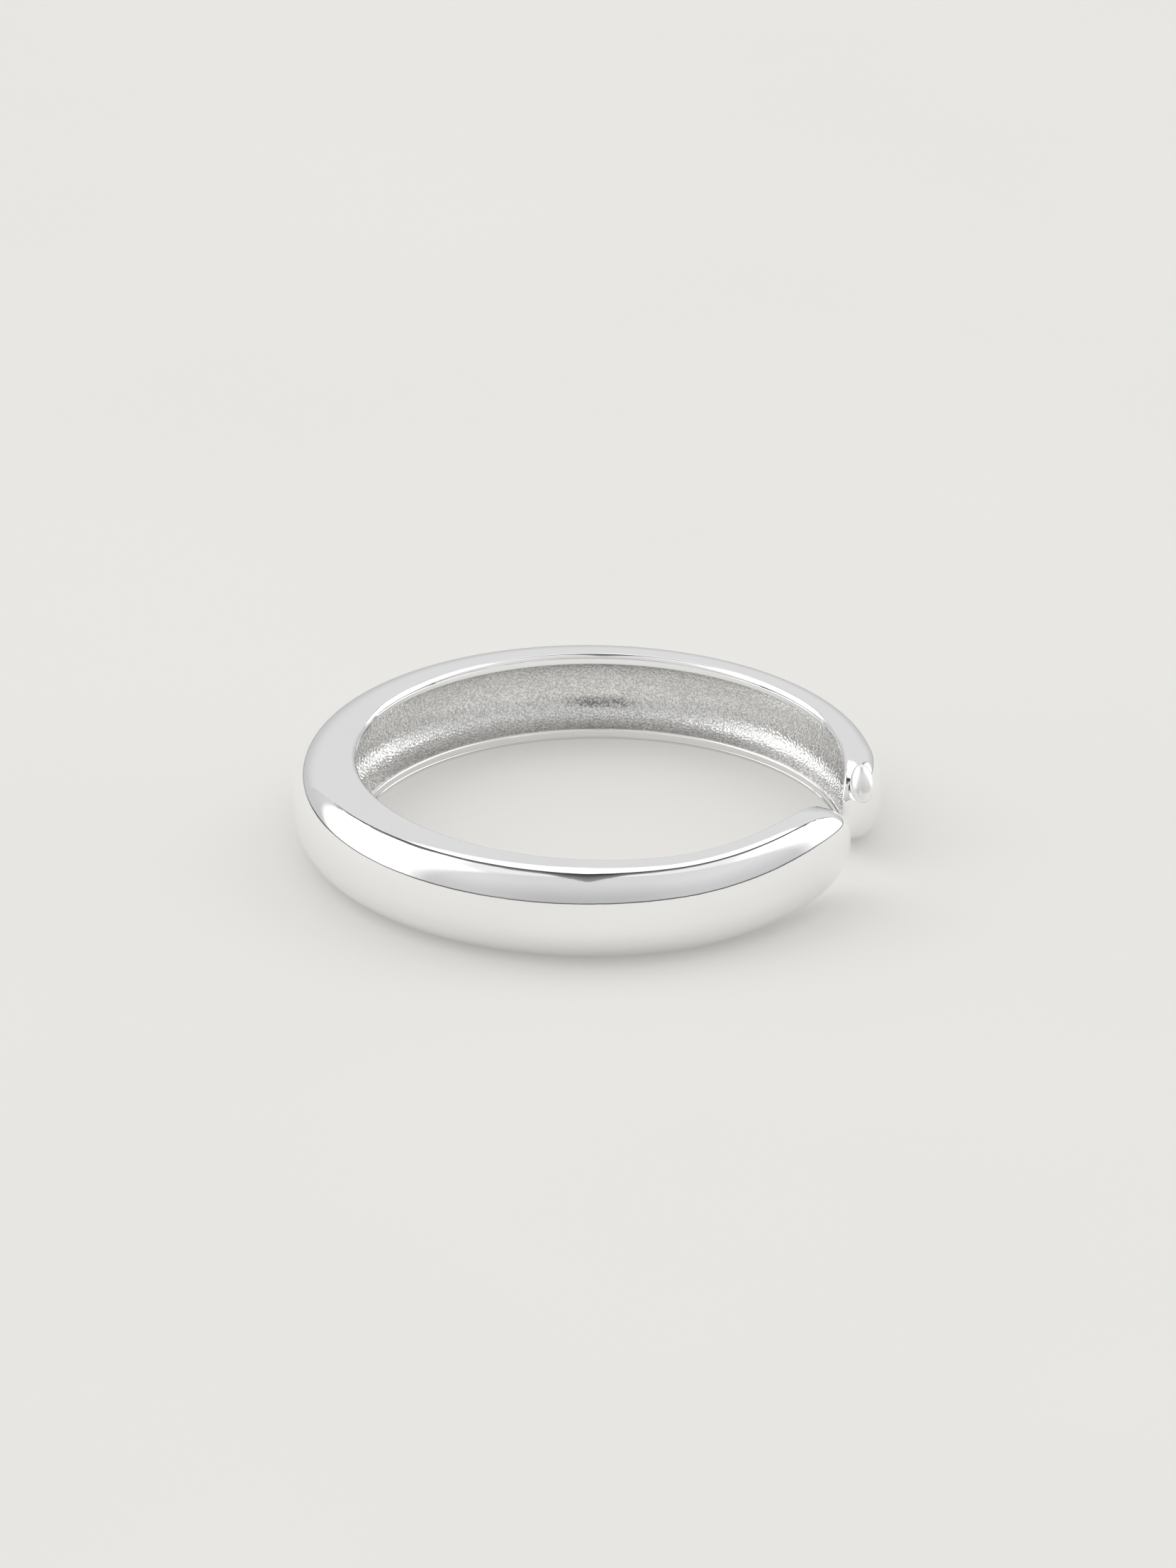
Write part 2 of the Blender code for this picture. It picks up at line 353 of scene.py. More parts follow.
class Field:
    """A number, vector or colour that a node tree works out, with the operators to make others from it."""

    def __init__(self, tree, socket):
        self.tree = tree
        self.socket = socket

    def math(self, operation, other=None):
        """This number and perhaps another one, put through a Math node."""
        values = {0: self} if other is None else {0: self, 1: other}
        return node(self.tree, "ShaderNodeMath", {"operation": operation}, values)

    def __add__(self, other):
        return self.math("ADD", other)

    def __radd__(self, other):
        return self.math("ADD", other)

    def __sub__(self, other):
        return self.math("SUBTRACT", other)

    def __rsub__(self, other):
        return node(self.tree, "ShaderNodeMath", {"operation": "SUBTRACT"}, {0: other, 1: self})

    def __mul__(self, other):
        return self.math("MULTIPLY", other)

    def __rmul__(self, other):
        return self.math("MULTIPLY", other)

    def __truediv__(self, other):
        return self.math("DIVIDE", other)

    def __abs__(self):
        return self.math("ABSOLUTE")

    def ramp(self, low, high, start=0.0, end=1.0):
        """Smoothly from start to end as this number goes from low to high."""
        settings = {"interpolation_type": "SMOOTHSTEP"}
        values = {"Value": self, "From Min": low, "From Max": high, "To Min": start, "To Max": end}
        return node(self.tree, "ShaderNodeMapRange", settings, values)

    def along(self, direction):
        """The part of this vector that lies along a direction."""
        values = {0: self, 1: tuple(direction)}
        return node(self.tree, "ShaderNodeVectorMath", {"operation": "DOT_PRODUCT"}, values, "Value")

    def distance(self, point, stretch):
        """How far this place is from a point, each direction stretched by so much."""
        start = tuple(-a * b for a, b in zip(point, stretch))
        values = {"Vector": self, "Location": start, "Scale": stretch}
        offset = node(self.tree, "ShaderNodeMapping", {}, values)
        return node(self.tree, "ShaderNodeVectorMath", {"operation": "LENGTH"}, {0: offset}, "Value")

    def mixed(self, first, second):
        """A colour that goes from the first to the second as this number goes from 0 to 1."""
        settings = {"data_type": "RGBA"}
        return node(self.tree, "ShaderNodeMix", settings, {0: self, 6: first, 7: second}, 2)


def node(tree, kind, settings, values, output=0):
    """Adds a node with its settings and the values or links of its sockets, and gives one of its outputs.

    A node that ends a tree has no output to give.
    """
    made = tree.nodes.new(kind)
    for name, value in settings.items():
        setattr(made, name, value)
    for name, value in values.items():
        socket = made.inputs[name]
        if isinstance(value, Field):
            tree.links.new(value.socket, socket)
        elif socket.type == "RGBA" and len(value) == 3:
            socket.default_value = (*value, 1.0)
        else:
            socket.default_value = value
    return Field(tree, made.outputs[output]) if made.outputs else None


def noise(tree, place, scale, detail, stretch=(1, 1, 1)):
    """Noise with so many lumps in a metre, at a place that may be stretched."""
    stretched = node(tree, "ShaderNodeMapping", {}, {"Vector": place, "Scale": stretch})
    return node(tree, "ShaderNodeTexNoise", {}, {"Vector": stretched, "Scale": scale, "Detail": detail})


def bump(tree, height, depth_and_strength, normal=None):
    """The normal of a surface with this height on it, on top of another normal if there is one."""
    depth, strength = depth_and_strength
    values = {"Height": height, "Distance": depth, "Strength": strength}
    if normal:
        values["Normal"] = normal
    return node(tree, "ShaderNodeBump", {}, values)


def metal_material(name, paint):
    """A metal material; paint(tree, place) gives the values of its shader's sockets."""
    material = bpy.data.materials.new(name)
    material.use_nodes = True
    tree = material.node_tree
    place = node(tree, "ShaderNodeTexCoord", {}, {}, "Object")
    shader = tree.nodes["Principled BSDF"]
    shader.inputs["Metallic"].default_value = 1.0
    for socket, value in paint(tree, place).items():
        tree.links.new(value.socket, shader.inputs[socket])
    return material


def polished_silver(name, metal, base_roughness):
    """Polished metal with faint hairlines, smudges, specks and the slight unevenness of handwork."""

    def paint(tree, place):
        smudge = noise(tree, place, *SMUDGES)
        hairline = noise(tree, place, *HAIRLINES)
        speck = noise(tree, place, *SPECKS).ramp(*SPECK_RANGE)
        smudged = smudge.ramp(*SMUDGE_RANGE) * SMUDGE_ROUGHNESS
        scratched = hairline.ramp(*HAIRLINE_RANGE) * HAIRLINE_ROUGHNESS
        darkened_share = smudge.ramp(*SMUDGE_TARNISH_RANGE) * SMUDGE_TARNISH + speck * SPECK_TARNISH
        uneven = bump(tree, noise(tree, place, *DENTS), DENT_BUMP)
        worn = bump(tree, hairline, HAIRLINE_BUMP, uneven)
        return {
            "Base Color": darkened_share.mixed(tuple(metal.silver), tuple(metal.tarnish)),
            "Roughness": base_roughness + smudged + scratched + speck * SPECK_ROUGHNESS,
            "Normal": bump(tree, 1 - speck, SPECK_BUMP, worn),
        }

    return metal_material(name, paint)


def pebbled_silver(metal):
    """The trough's metal, with painted shade: darker in its fine creases and low down, and most of all in a
    patch at the back, a painted dark reflection.
    """

    def paint(tree, place):
        grain = noise(tree, place, *GRAINS)
        patch = noise(tree, place, *PATCHES).ramp(*PATCH_RANGE)
        crease = abs(noise(tree, place, *CREASES) - NOISE_MIDDLE).ramp(0.0, CREASE_HALF_WIDTH, 1.0, 0.0)
        # Painted shade: darker low down, in the creases, and most of all in a painted dark reflection at the
        # back
        low_shade = place.along((0, 0, 1)).ramp(LOW_SHADE_LEVEL, LOW_SHADE_LEVEL + LOW_SHADE_FADE, LOW_SHADE_SHARE, 0.0)
        darkest = place.distance(DARK_REFLECTION_CENTRE, DARK_REFLECTION_STRETCH).ramp(*DARK_REFLECTION_REACH, 1.0, 0.0)
        crease_shade = crease * (darkest * DARK_REFLECTION_CREASE_SHADE + CREASE_SHADE)
        darkened_share = (low_shade + darkest * DARK_REFLECTION_SHARE + crease_shade).math("MINIMUM", 1.0)
        return {
            "Base Color": darkened_share.mixed(tuple(metal.trough_silver), tuple(metal.trough_painted_shade)),
            "Roughness": metal.pebble_roughness + patch * PATCH_ROUGHNESS,
            "Normal": bump(tree, 1 - crease, CREASE_BUMP, bump(tree, grain, GRAIN_BUMP)),
        }

    return metal_material("pebbled_silver_painted_shade", paint)


# ---------------------------------------------------------------- the band


def round_circle(segments):
    """Angles evenly round a circle."""
    return np.arange(segments) * 2 * math.pi / segments


def smoothstep(share_of_way):
    """Smoothly from 0 to 1 over the way, and level beyond it."""
    held = np.clip(share_of_way, 0.0, 1.0)
    return held * held * (3 - 2 * held)


def superellipse(angle, power):
    """The cosine and sine of an angle, squared off by the power."""
    cosine = np.clip(np.cos(angle), 0.0, None)
    sine = np.clip(np.sin(angle), 0.0, None)
    return cosine ** (2 / power), sine ** (2 / power)


# The upper half of the outline is drawn in stretches, each of them out and up: out from the inner face,
# and up from halfway. They run from halfway up the outer face to halfway down the trough.


def outer_face(half, deep):
    """The domed outer face, and the flat rim on top."""
    out, up = superellipse(np.linspace(0, QUARTER_TURN, DOME_STEPS + 1), DOME_POWER)
    flat = FLAT_SHARE * deep
    yield flat + (deep - flat) * out, half * up
    inward = np.arange(1, FLAT_STEPS) / FLAT_STEPS
    yield flat + (EDGE_BEVEL - flat) * inward, half


def inner_edge(half):
    """The bevel at the top of the inner face, and the fine groove under it."""
    up, out = superellipse(np.linspace(0, QUARTER_TURN, BEVEL_STEPS + 1), BEVEL_POWER)
    yield EDGE_BEVEL * (1 - out), half - BEVEL_DEPTH * (1 - up)
    across = np.arange(1, GROOVE_STEPS + 1) / GROOVE_STEPS
    notch = 1 - np.abs(2 * across - 1)
    yield GROOVE_DEPTH * notch, half - BEVEL_DEPTH - GROOVE_WIDTH * across


def hollow(half, depth, rise):
    """The lip, the rounded edge under it, and the trough."""
    lip_top = half - BEVEL_DEPTH - GROOVE_WIDTH
    trough_half = (half - LIP_HEIGHT) * (TROUGH_END_HEIGHT_SHARE + (1 - TROUGH_END_HEIGHT_SHARE) * rise)
    fillet = LIP_FILLET * rise
    down = np.arange(1, LIP_STEPS) / LIP_STEPS
    yield 0.0, lip_top + (trough_half + fillet - lip_top) * down
    turn = np.linspace(0, QUARTER_TURN, FILLET_STEPS + 1)
    yield fillet * (1 - np.cos(turn)), trough_half + fillet * (1 - np.sin(turn))
    fillet_share = np.minimum(fillet / np.maximum(depth, TINY), FILLET_MOST)
    start = np.arccos(fillet_share ** (TROUGH_POWER / 2))
    steps = np.arange(1, TROUGH_STEPS + 1) / TROUGH_STEPS
    out, up = superellipse(start * (1 - steps), TROUGH_POWER)
    yield depth * out, trough_half * up


class BandShape:
    """Works out points of the band; theta is the angle from the middle of the opening."""

    def __init__(self, sizes):
        self.sizes = sizes
        self.end_radius = sizes.inner_radius + self.thickness(0) / 2
        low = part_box("band_front_arm")[0]
        self.centre_x = low[0] + sizes.inner_radius + self.thickness(math.pi)

    def height(self, theta):
        """The band's height, least at its ends."""
        return self.sizes.height - HEIGHT_TAPER * np.cos(theta)

    def thickness(self, theta):
        """The band's thickness, least at its ends."""
        return self.sizes.thickness - THICKNESS_TAPER * np.cos(theta)

    def nose_root(self, nose):
        """The angle at which a nose begins."""
        return OPENING_HALF_ANGLE + nose.length / self.end_radius

    def stations(self):
        """Angles from the middle of the end to opposite the opening, closer together at the end."""
        spread = np.arange(1, TIP_STEPS) / TIP_STEPS * QUARTER_TURN
        tip = TIP_LENGTH * (1 - np.cos(spread))
        far = (math.pi - OPENING_HALF_ANGLE) * self.end_radius
        body = np.linspace(TIP_LENGTH, far, round((far - TIP_LENGTH) / STATION_STEP) + 1)
        return OPENING_HALF_ANGLE + np.concatenate([tip, body]) / self.end_radius

    def section(self, theta):
        """The outlines at some angles: out, up, which points are the trough's, and how far it has sunk."""
        theta = theta[:, None]
        half = self.height(theta) / 2
        deep = self.thickness(theta)
        from_end = (theta - OPENING_HALF_ANGLE) * self.end_radius
        rise = np.sqrt(smoothstep((from_end - SOLID_END) / TROUGH_RISE_LENGTH))
        trough_depth = self.sizes.trough_depth * deep * rise

        upper = [*outer_face(half, deep), *inner_edge(half), *hollow(half, trough_depth, rise)]
        full = [np.broadcast_arrays(out, up, theta) for out, up in upper]
        out = np.concatenate([stretch[0] for stretch in full], 1)
        up = np.concatenate([stretch[1] for stretch in full], 1)
        trough = np.arange(out.shape[1]) >= out.shape[1] - TROUGH_STEPS

        mirrored = slice(-2, 0, -1)
        out = np.concatenate([out, out[:, mirrored]], 1)
        up = np.concatenate([up, -up[:, mirrored]], 1)
        trough = np.concatenate([trough, trough[mirrored]])
        return out, up, trough, rise

    def place(self, nose, theta, out, up):
        """Points in the part's frame, for an outline drawn in towards the nose's point."""
        theta = theta[:, None]
        root = self.nose_root(nose)
        along = np.clip((root - theta) / (root - OPENING_HALF_ANGLE), 0.0, 1.0)

        def draw_in(power):
            """How much of the outline is left, by the power that rounds the nose."""
            return np.clip(1 - along**power, 0.0, None) ** (1 / power)

        centre = nose.centre_share * self.thickness(theta)
        radius = self.sizes.inner_radius + centre + (out - centre) * draw_in(nose.thickness_power)
        point_up = (nose.level_share - 0.5) * self.height(theta)
        level = self.height(theta) / 2 + point_up + (up - point_up) * draw_in(nose.height_power)
        lift = nose.lift * smoothstep(1 - (theta - OPENING_HALF_ANGLE) / LIFT_ANGLE)
        x = self.centre_x + radius * np.cos(theta)
        y = nose.side * radius * np.sin(theta)
        return np.stack([x, y, level + lift], 2)

    def tip(self, nose):
        """The very point of a nose."""
        return self.place(nose, np.array([OPENING_HALF_ANGLE]), np.zeros((1, 1)), np.zeros((1, 1)))[0, 0]


def pebbles(rows, columns, points_apart):
    """A field of winding ridges and hollows, from -1 to 1, with so many points from ridge to ridge."""
    rng = np.random.default_rng(PEBBLE_SEED)
    spectrum = np.fft.fft2(rng.standard_normal((rows, columns)))
    down = np.fft.fftfreq(rows)[:, None] * points_apart
    across = np.fft.fftfreq(columns)[None, :] * points_apart
    pitch = np.hypot(down, across)
    kept = np.exp(-(((pitch - 1) / PEBBLE_VARIETY) ** 2))
    ridges = np.fft.ifft2(spectrum * kept).real
    return np.tanh(PEBBLE_FULLNESS * ridges / ridges.std())


def normals_of(points):
    """Unit normals of a grid of points that closes on itself along its second axis."""
    along = np.gradient(points, axis=0)
    around = np.roll(points, -1, 1) - np.roll(points, 1, 1)
    normal = np.cross(along, around)
    return normal / np.maximum(np.linalg.norm(normal, axis=2, keepdims=True), TINY)


def band_points(shape, sizes):
    """The band's points, a row for each station from the front end round to the back one.

    It also gives which of the faces between them are textured.
    """
    theta = shape.stations()
    out, up, trough, rise = shape.section(theta)
    front = shape.place(FRONT_NOSE, theta, out, up)
    back = shape.place(BACK_NOSE, theta, out, up)
    points = np.concatenate([front, back[-2::-1]])
    rise = np.concatenate([rise, rise[-2::-1]])

    columns = np.flatnonzero(trough)
    in_order = columns[np.argsort((columns - columns[0]) % len(trough))]
    texture = pebbles(len(points), len(columns), sizes.pebble_size / STATION_STEP)
    from_edge = np.minimum(np.arange(len(columns)), np.arange(len(columns))[::-1])
    texture *= smoothstep(from_edge / PEBBLE_EDGE_STEPS)
    texture *= smoothstep((rise - PEBBLE_FIRST_RISE) / (PEBBLE_FULL_RISE - PEBBLE_FIRST_RISE))
    points[:, in_order] += normals_of(points)[:, in_order] * (texture * sizes.pebble_height)[:, :, None]
    both_ends = trough & np.roll(trough, -1)
    return points, both_ends & (rise[:-1] > 0)


def band_mesh(shape, sizes):
    """The whole band as one closed mesh, its trough's faces in the second material."""
    points, textured = band_points(shape, sizes)
    rows, columns = points.shape[:2]
    index = np.arange(rows * columns).reshape(rows, columns)
    after = np.roll(index, -1, 1)
    quads = np.stack([index[:-1], index[1:], after[1:], after[:-1]], 2).reshape(-1, 4)
    front_tip = rows * columns
    back_tip = front_tip + 1
    caps = [(front_tip, a, b) for a, b in zip(index[0], after[0])]
    caps += [(back_tip, b, a) for a, b in zip(index[-1], after[-1])]
    tips = [shape.tip(nose).tolist() for nose in (FRONT_NOSE, BACK_NOSE)]
    vertices = points.reshape(-1, 3).tolist() + tips
    mesh = bpy.data.meshes.new("bangle_band")
    mesh.from_pydata(vertices, [], quads.tolist() + caps)
    slots = np.concatenate([textured.ravel(), np.zeros(len(caps), bool)]).astype(np.int32)
    mesh.polygons.foreach_set("material_index", slots)
    face_out(mesh)
    return mesh


def face_out(mesh):
    """Turns a closed mesh's faces outward if they point inward."""
    mesh.calc_loop_triangles()
    points = np.empty(len(mesh.vertices) * 3)
    mesh.vertices.foreach_get("co", points)
    corners = np.empty(len(mesh.loop_triangles) * 3, np.int32)
    mesh.loop_triangles.foreach_get("vertices", corners)
    triangles = points.reshape(-1, 3)[corners.reshape(-1, 3)]
    if np.linalg.det(triangles).sum() < 0:
        mesh.flip_normals()


def show(name, mesh, *materials):
    """Puts a mesh in the scene as a smooth object with these materials."""
    for material in materials:
        mesh.materials.append(material)
    mesh.shade_smooth()
    mesh.set_sharp_from_angle(angle=SHARP_ANGLE)
    obj = bpy.data.objects.new(name, mesh)
    bpy.context.scene.collection.objects.link(obj)
    return obj


def carve(obj, cutter):
    """Cuts the cutter's shape out of an object for good, and removes the cutter."""
    cut = obj.modifiers.new("carve", "BOOLEAN")
    cut.operation = "DIFFERENCE"
    cut.solver = "EXACT"
    cut.object = cutter
    graph = bpy.context.evaluated_depsgraph_get()
    carved = bpy.data.meshes.new_from_object(obj.evaluated_get(graph))
    obj.modifiers.remove(cut)
    obj.data = carved
    bpy.data.objects.remove(cutter, do_unlink=True)


# ---------------------------------------------------------------- the bead and its neck


def turned(name, profile, segments, place):
    """A mesh turned about its local Z, from (radius, level) pairs that run from top to bottom on Z."""
    turns = round_circle(segments)
    vertices = [(0, 0, profile[0][1])]
    for radius, level in profile[1:-1]:
        vertices += [(radius * math.cos(t), radius * math.sin(t), level) for t in turns]
    vertices.append((0, 0, profile[-1][1]))
    last = len(vertices) - 1
    faces = []
    for i in range(segments):
        j = (i + 1) % segments
        faces.append((0, 1 + i, 1 + j))
        faces.append((last, last - segments + j, last - segments + i))
        for row in range(len(profile) - 3):
            a = 1 + row * segments
            faces.append((a + i, a + segments + i, a + segments + j, a + j))
    mesh = bpy.data.meshes.new(name)
    mesh.from_pydata(vertices, [], faces)
    mesh.transform(place)
    face_out(mesh)
    return mesh


def bead_place(shape, sizes):
    """The bead's frame: its centre, with local -Y pointing back into the nose and Z up along the bead."""
    radius = sizes.inner_radius + BEAD_OUT
    x = shape.centre_x + radius * math.cos(BEAD_ANGLE)
    centre = Vector((x, radius * math.sin(BEAD_ANGLE), BEAD_LEVEL))
    facing = Matrix.Rotation(BEAD_TURN - QUARTER_TURN, 4, "Z")
    return Matrix.Translation(centre) @ facing @ Matrix.Rotation(BEAD_LEAN, 4, "X")


def bead_profile(sizes, grown=0.0):
    """An egg from top to bottom, a little fuller below its middle, and grown by so much all round."""
    half_length = sizes.bead_half_length + grown
    profile = []
    for angle in np.linspace(0, math.pi, BEAD_STEPS + 1):
        level = half_length * (math.cos(angle) - BEAD_FULLNESS_SHIFT * math.sin(angle) ** 2)
        profile.append(((sizes.bead_radius + grown) * math.sin(angle), level))
    return profile


def neck_profile(sizes):
    """A rod that flares where it meets the niche, from inside the bead to inside the nose."""
    top = -NECK_INSIDE_BEAD * sizes.bead_radius
    waist = -sizes.bead_radius - BEAD_GAP / 2
    bottom = -sizes.bead_radius - BEAD_GAP - NECK_INSIDE_NOSE
    levels = np.linspace(top, bottom, NECK_STEPS + 1)
    flare = NECK_FLARE * np.abs(levels - waist) / NECK_FLARE_LENGTH
    radii = sizes.neck_radius + np.minimum(flare, NECK_FLARE)
    return [(0, top), *zip(radii, levels), (0, bottom)]


# ---------------------------------------------------------------- the studio


class Tent:
    """Works out how bright a pale tent round the bangle is in each direction.

    The metal mirrors it: its walls as pale shades, its seams and the gap at its top as dark lines.
    """

    def __init__(self, tree, studio):
        self.studio = studio
        self.direction = node(tree, "ShaderNodeTexCoord", {}, {}, "Generated")
        self.right = self.direction.along(VIEW_RIGHT)
        self.away = self.direction.along(VIEW_AWAY)
        self.up = self.direction.along((0, 0, 1))
        above = self.up.math("MAXIMUM", LOWEST_UP)
        self.aside = abs(self.right / above)
        self.beyond = self.away / above
        self.wrinkle = noise(tree, self.direction, *TENT_WRINKLES) - NOISE_MIDDLE

    def front_wall(self):
        """The wall towards the camera, darker low down and round the opening for the camera."""
        towards_sides = abs(self.right).ramp(*FRONT_SIDES)
        wall = self.up.ramp(*FRONT_RISE, *FRONT_BRIGHTNESS) + towards_sides * FRONT_SIDES_GAIN
        opening = self.direction.along(toward_camera()).ramp(*OPENING)
        return wall * (1 - opening * OPENING_LOSS)

    def back_wall(self):
        """The wall behind, darker low down and with a bright strip at the top."""
        strip = (self.beyond + self.aside * STRIP_SLOPE).ramp(*STRIP_END, 1.0, 0.0)
        wall = self.up.ramp(*BACK_RISE, BACK_LOW_BRIGHTNESS, self.studio.back_light)
        return wall + strip * STRIP_GAIN

    def before_panel_end(self):
        """Above 0 in front of the line behind the object where the side panels end."""
        slant = self.right.ramp(*LEFT_TO_RIGHT, *PANEL_SLANTS)
        sooner = self.right.ramp(*LEFT_TO_RIGHT, LEFT_PANEL_END, 0.0)
        return abs(self.right) - self.away + self.up * slant - sooner

    def side_panels(self, before_end):
        """Where the lit panels are; the right one begins farther round."""
        round_from_front = abs(self.right).math("ARCTAN2", self.away * -1)
        round_from_start = round_from_front - self.right.ramp(*LEFT_TO_RIGHT) * RIGHT_PANEL_SHIFT
        top = self.up.ramp(*PANEL_TOP, 1.0, PANEL_TOP_SHARE)
        return round_from_start.ramp(*PANEL_START) * before_end.ramp(*PANEL_END) * top

    def past_seam(self):
        """How far behind the seam between the front and the back of the tent a direction lies."""
        straight = self.beyond - self.aside * SEAM_SLOPE - SEAM_START
        return straight + self.wrinkle * self.aside * SEAM_WRINKLE

    def into_gap(self, past_seam):
        """How far into the dark gap before the seam, as a share of its width, which narrows to a line."""
        point = self.aside.ramp(*GAP_POINT, GAP_POINT_WIDTH, 0.0)
        flare = self.aside.ramp(*GAP_FLARE, GAP_FLARE_WIDTH, 0.0)
        uneven = self.wrinkle * self.aside.ramp(*GAP_WRINKLED) * GAP_WRINKLE
        width = (point + flare + GAP_LINE + uneven).math("MAXIMUM", GAP_LEAST)
        return past_seam * -1 / width

    def gap(self, into_gap, before_end):
        """Where the gap is; it fades out low down, and sooner where a panel has ended."""
        between_edges = into_gap.ramp(*GAP_BACK_EDGE) * into_gap.ramp(*GAP_FRONT_EDGE, 1.0, 0.0)
        past_panel = before_end.ramp(*GAP_PANEL_EDGE, 1.0, 0.0)
        shown = between_edges * self.aside.ramp(*GAP_FADE, 1.0, 0.0)
        return shown * (1 - self.aside.ramp(*GAP_AT_PANELS) * past_panel)

    def foot(self):
        """How much darker the tent is where it meets the table, most of all in front."""
        return self.up.ramp(*FOOT_RISE, 1.0, 0.0) * self.away.ramp(*FOOT_DEPTH, *FOOT_SHADE)

    def brightness(self):
        """All the tent's parts together."""
        before_end = self.before_panel_end()
        panel_gain = self.studio.side_light - FRONT_BEHIND_PANELS
        front = self.front_wall() + self.side_panels(before_end) * panel_gain
        past_seam = self.past_seam()
        behind = past_seam.ramp(*SEAM_EDGE)
        walls = front * (1 - behind) + self.back_wall() * behind
        into_gap = self.into_gap(past_seam)
        gap = self.gap(into_gap, before_end)
        with_gap = walls * (1 - gap) + gap * into_gap.ramp(0.0, 1.0, *GAP_BRIGHTNESS)
        return with_gap * (1 - self.foot())


def studio_light(studio):
    """Lights the scene from the tent; behind the table the camera sees a plain background instead."""
    world = bpy.data.worlds.new("pale_tent")
    world.use_nodes = True
    tree = world.node_tree
    tree.nodes.clear()
    camera_ray = node(tree, "ShaderNodeLightPath", {}, {}, "Is Camera Ray")
    seen = camera_ray.mixed(Tent(tree, studio).brightness(), tuple(studio.background))
    light = node(tree, "ShaderNodeBackground", {}, {"Color": seen})
    node(tree, "ShaderNodeOutputWorld", {}, {"Surface": light})
    bpy.context.scene.world = world


def table_material(studio):
    """A matt, faintly clouded table colour with a little painted light: a glow that stands for the light the
    metal throws back.
    """
    material = bpy.data.materials.new("matt_table")
    material.use_nodes = True
    tree = material.node_tree
    place = node(tree, "ShaderNodeTexCoord", {}, {}, "Object")
    shader = tree.nodes["Principled BSDF"]
    shader.inputs["Roughness"].default_value = TABLE_ROUGHNESS
    shader.inputs["Specular IOR Level"].default_value = TABLE_SHEEN
    # Painted light: a faint glow that lightens the table's shadows
    shader.inputs["Emission Color"].default_value = (*studio.table, 1.0)
    shader.inputs["Emission Strength"].default_value = studio.table_glow
    cloud = noise(tree, place, *TABLE_CLOUDS).ramp(*CLOUD_RANGE)
    shade = tuple(TABLE_SHADE * part for part in studio.table)
    tint = cloud.mixed(shade, tuple(studio.table))
    tree.links.new(tint.socket, shader.inputs["Base Color"])
    return material


def table_top(studio):
    """A wide, round, matt table top under the bangle."""
    low = CAD_BOX[0][2]
    turns = round_circle(TABLE_SEGMENTS)
    vertices = [(TABLE_RADIUS * math.cos(t), TABLE_RADIUS * math.sin(t), low) for t in turns]
    mesh = bpy.data.meshes.new("table_top")
    mesh.from_pydata(vertices, [], [tuple(range(TABLE_SEGMENTS))])
    mesh.materials.append(table_material(studio))
    obj = bpy.data.objects.new("table_top", mesh)
    bpy.context.scene.collection.objects.link(obj)


def soft_lamp(studio):
    """A large lamp almost straight above, which the metal doesn't mirror: it gives the soft shadows."""
    data = bpy.data.lights.new("soft_lamp", "AREA")
    data.shape = "DISK"
    data.size = LAMP_SIZE
    data.energy = studio.lamp_power
    obj = bpy.data.objects.new("soft_lamp", data)
    toward = (VIEW_AWAY * LAMP_AWAY - VIEW_RIGHT * LAMP_LEFT + Vector((0, 0, 1))).normalized()
    obj.location = toward * LAMP_DISTANCE
    obj.rotation_euler = toward.to_track_quat("Z", "Y").to_euler()
    obj.visible_glossy = False
    obj.visible_camera = False
    bpy.context.scene.collection.objects.link(obj)


def camera(shape):
    """The camera, a little above the table and far enough off for a calm perspective."""
    toward = toward_camera()
    upward = VIEW_AWAY * math.sin(VIEW_ELEVATION) + Vector((0, 0, math.cos(VIEW_ELEVATION)))
    aim = Vector((shape.centre_x, 0, 0)) - VIEW_RIGHT * VIEW_LEFT + upward * VIEW_UP
    data = bpy.data.cameras.new("camera")
    data.sensor_fit = "VERTICAL"
    data.sensor_height = FILM_HEIGHT
    data.lens = FILM_HEIGHT * VIEW_DISTANCE / VIEW_HEIGHT
    data.clip_start = NEAREST_SEEN
    obj = bpy.data.objects.new("camera", data)
    obj.location = aim + toward * VIEW_DISTANCE
    obj.rotation_euler = (-toward).to_track_quat("-Z", "Y").to_euler()
    bpy.context.scene.collection.objects.link(obj)
    bpy.context.scene.camera = obj


# ---------------------------------------------------------------- operators


class OBJECT_OT_bangle_band(bpy.types.Operator):
    """Make the polished band with its textured trough"""

    bl_idname = "object.bangle_band"
    bl_label = "Band"

    def execute(self, context):
        sizes = context.scene.bangle_sizes
        metal = context.scene.bangle_finish
        shape = BandShape(sizes)
        polished = polished_silver("polished_silver_finish", metal, metal.roughness)
        band = show("bangle_band", band_mesh(shape, sizes), polished, pebbled_silver(metal))
        niche = turned("niche", bead_profile(sizes, BEAD_GAP), NICHE_SEGMENTS, bead_place(shape, sizes))
        carve(band, show("niche", niche, polished))
        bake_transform(band)
        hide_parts("band_front_arm", "band_back_arm")
        return {"FINISHED"}


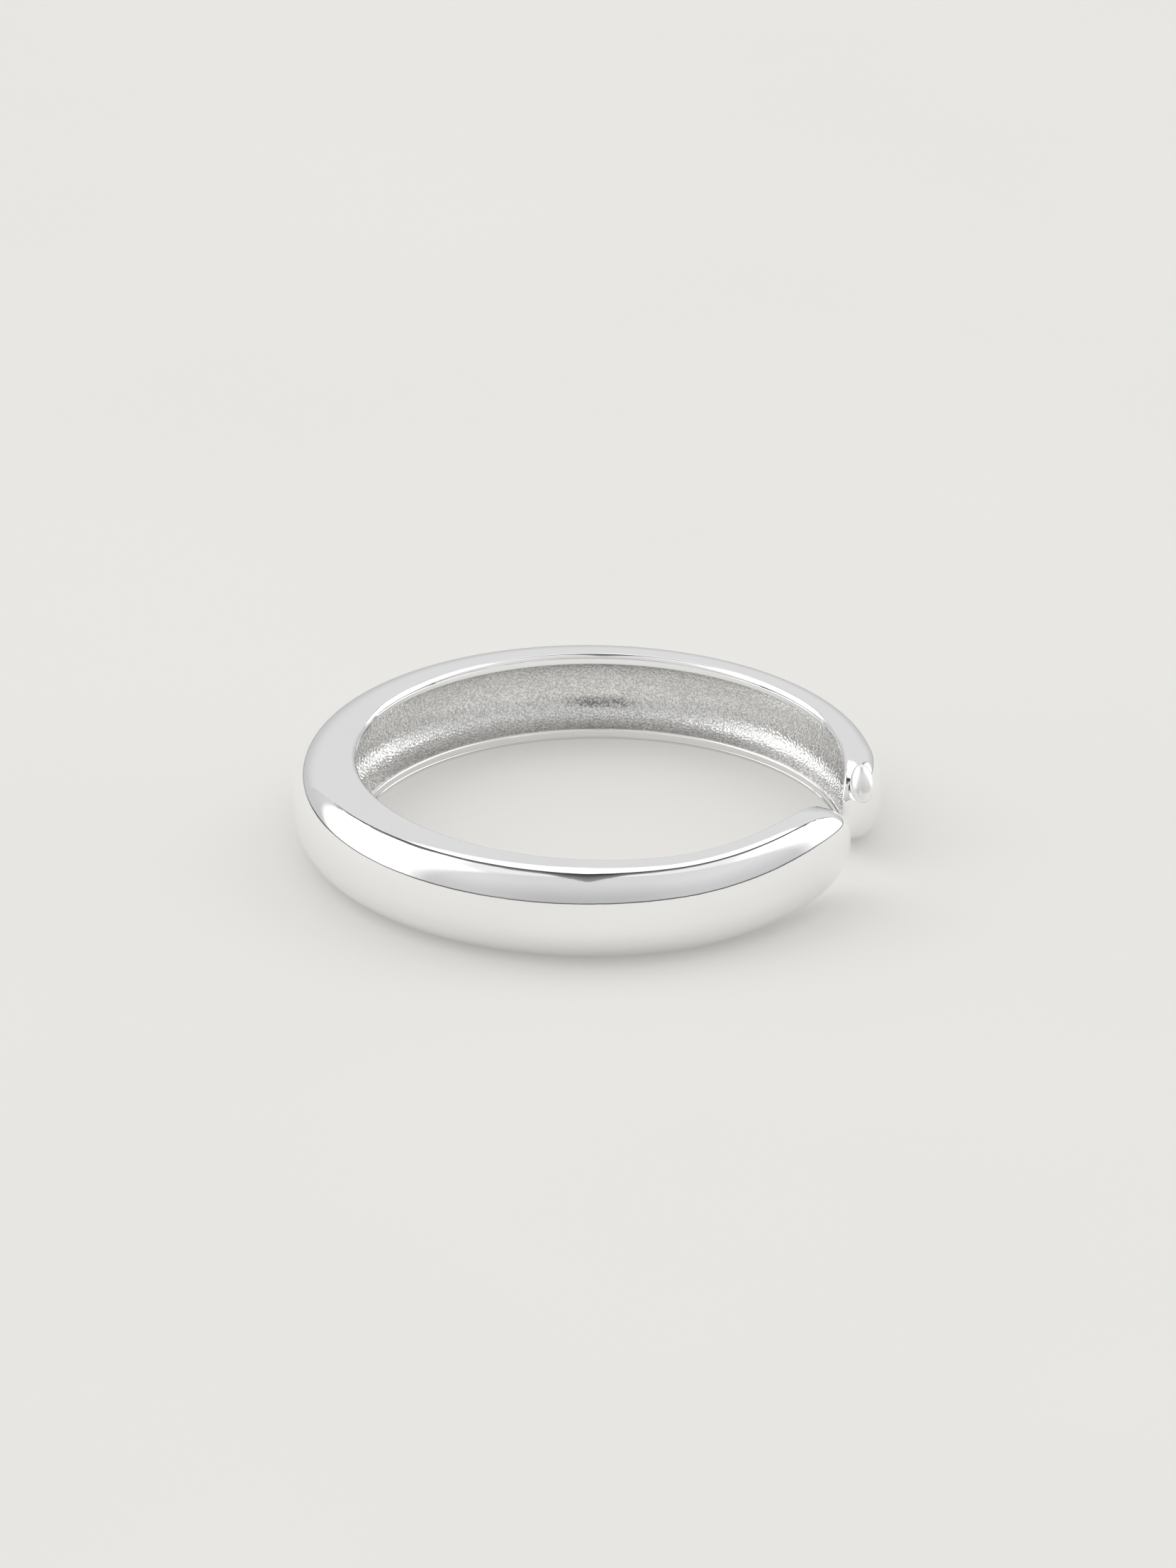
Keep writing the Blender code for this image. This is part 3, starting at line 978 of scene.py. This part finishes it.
class OBJECT_OT_bangle_bead(bpy.types.Operator):
    """Make the oval bead and the neck that holds it in the end of the band"""

    bl_idname = "object.bangle_bead"
    bl_label = "Bead and neck"

    def execute(self, context):
        sizes = context.scene.bangle_sizes
        shape = BandShape(sizes)
        metal = context.scene.bangle_finish
        silver = polished_silver("bead_silver_finish", metal, metal.bead_roughness)
        place = bead_place(shape, sizes)
        bead_mesh = turned("oval_bead", bead_profile(sizes), BEAD_SEGMENTS, place)
        bead = show("oval_bead", bead_mesh, silver)
        along_neck = place @ Matrix.Rotation(-QUARTER_TURN, 4, "X")
        neck_mesh = turned("bead_neck", neck_profile(sizes), NECK_SEGMENTS, along_neck)
        neck = show("bead_neck", neck_mesh, silver)
        for piece, stands_for in ((bead, "end_bead"), (neck, "bead_peg")):
            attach(piece, "back_arm")
            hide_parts(stands_for)
        return {"FINISHED"}


class OBJECT_OT_bangle_stage(bpy.types.Operator):
    """Make the pale table, the light and the camera"""

    bl_idname = "object.bangle_stage"
    bl_label = "Table, light and camera"

    def execute(self, context):
        studio = context.scene.bangle_studio
        table_top(studio)
        studio_light(studio)
        soft_lamp(studio)
        camera(BandShape(context.scene.bangle_sizes))
        context.scene.view_settings.view_transform = "Standard"
        return {"FINISHED"}


OPERATORS = (OBJECT_OT_bangle_band, OBJECT_OT_bangle_bead, OBJECT_OT_bangle_stage)
GROUPS = {"bangle_sizes": BangleSizes, "bangle_finish": BangleFinish, "bangle_studio": StudioSettings}


class VIEW3D_PT_bangle(bpy.types.Panel):
    """Lists the bangle's pieces and their settings"""

    bl_label = "Open bangle"
    bl_space_type = "VIEW_3D"
    bl_region_type = "UI"
    bl_category = "Bangle"

    def draw(self, context):
        for operator in OPERATORS:
            self.layout.operator(operator.bl_idname)
        for group, kind in GROUPS.items():
            settings = getattr(context.scene, group)
            box = self.layout.box()
            for name in kind.__annotations__:
                box.prop(settings, name)


def register():
    """Adds the operators, the settings and the panel to Blender."""
    for kind in (*GROUPS.values(), *OPERATORS, VIEW3D_PT_bangle):
        bpy.utils.register_class(kind)
    for name, kind in GROUPS.items():
        setattr(bpy.types.Scene, name, PointerProperty(type=kind))


def unregister():
    """Takes them away again."""
    for name in GROUPS:
        delattr(bpy.types.Scene, name)
    for kind in reversed((*GROUPS.values(), *OPERATORS, VIEW3D_PT_bangle)):
        bpy.utils.unregister_class(kind)


def main():
    """Builds the whole scene."""
    register()
    bpy.ops.object.bangle_stage()
    bpy.ops.object.bangle_band()
    bpy.ops.object.bangle_bead()
    bpy.context.view_layer.update()


if __name__ == "__main__":
    main()
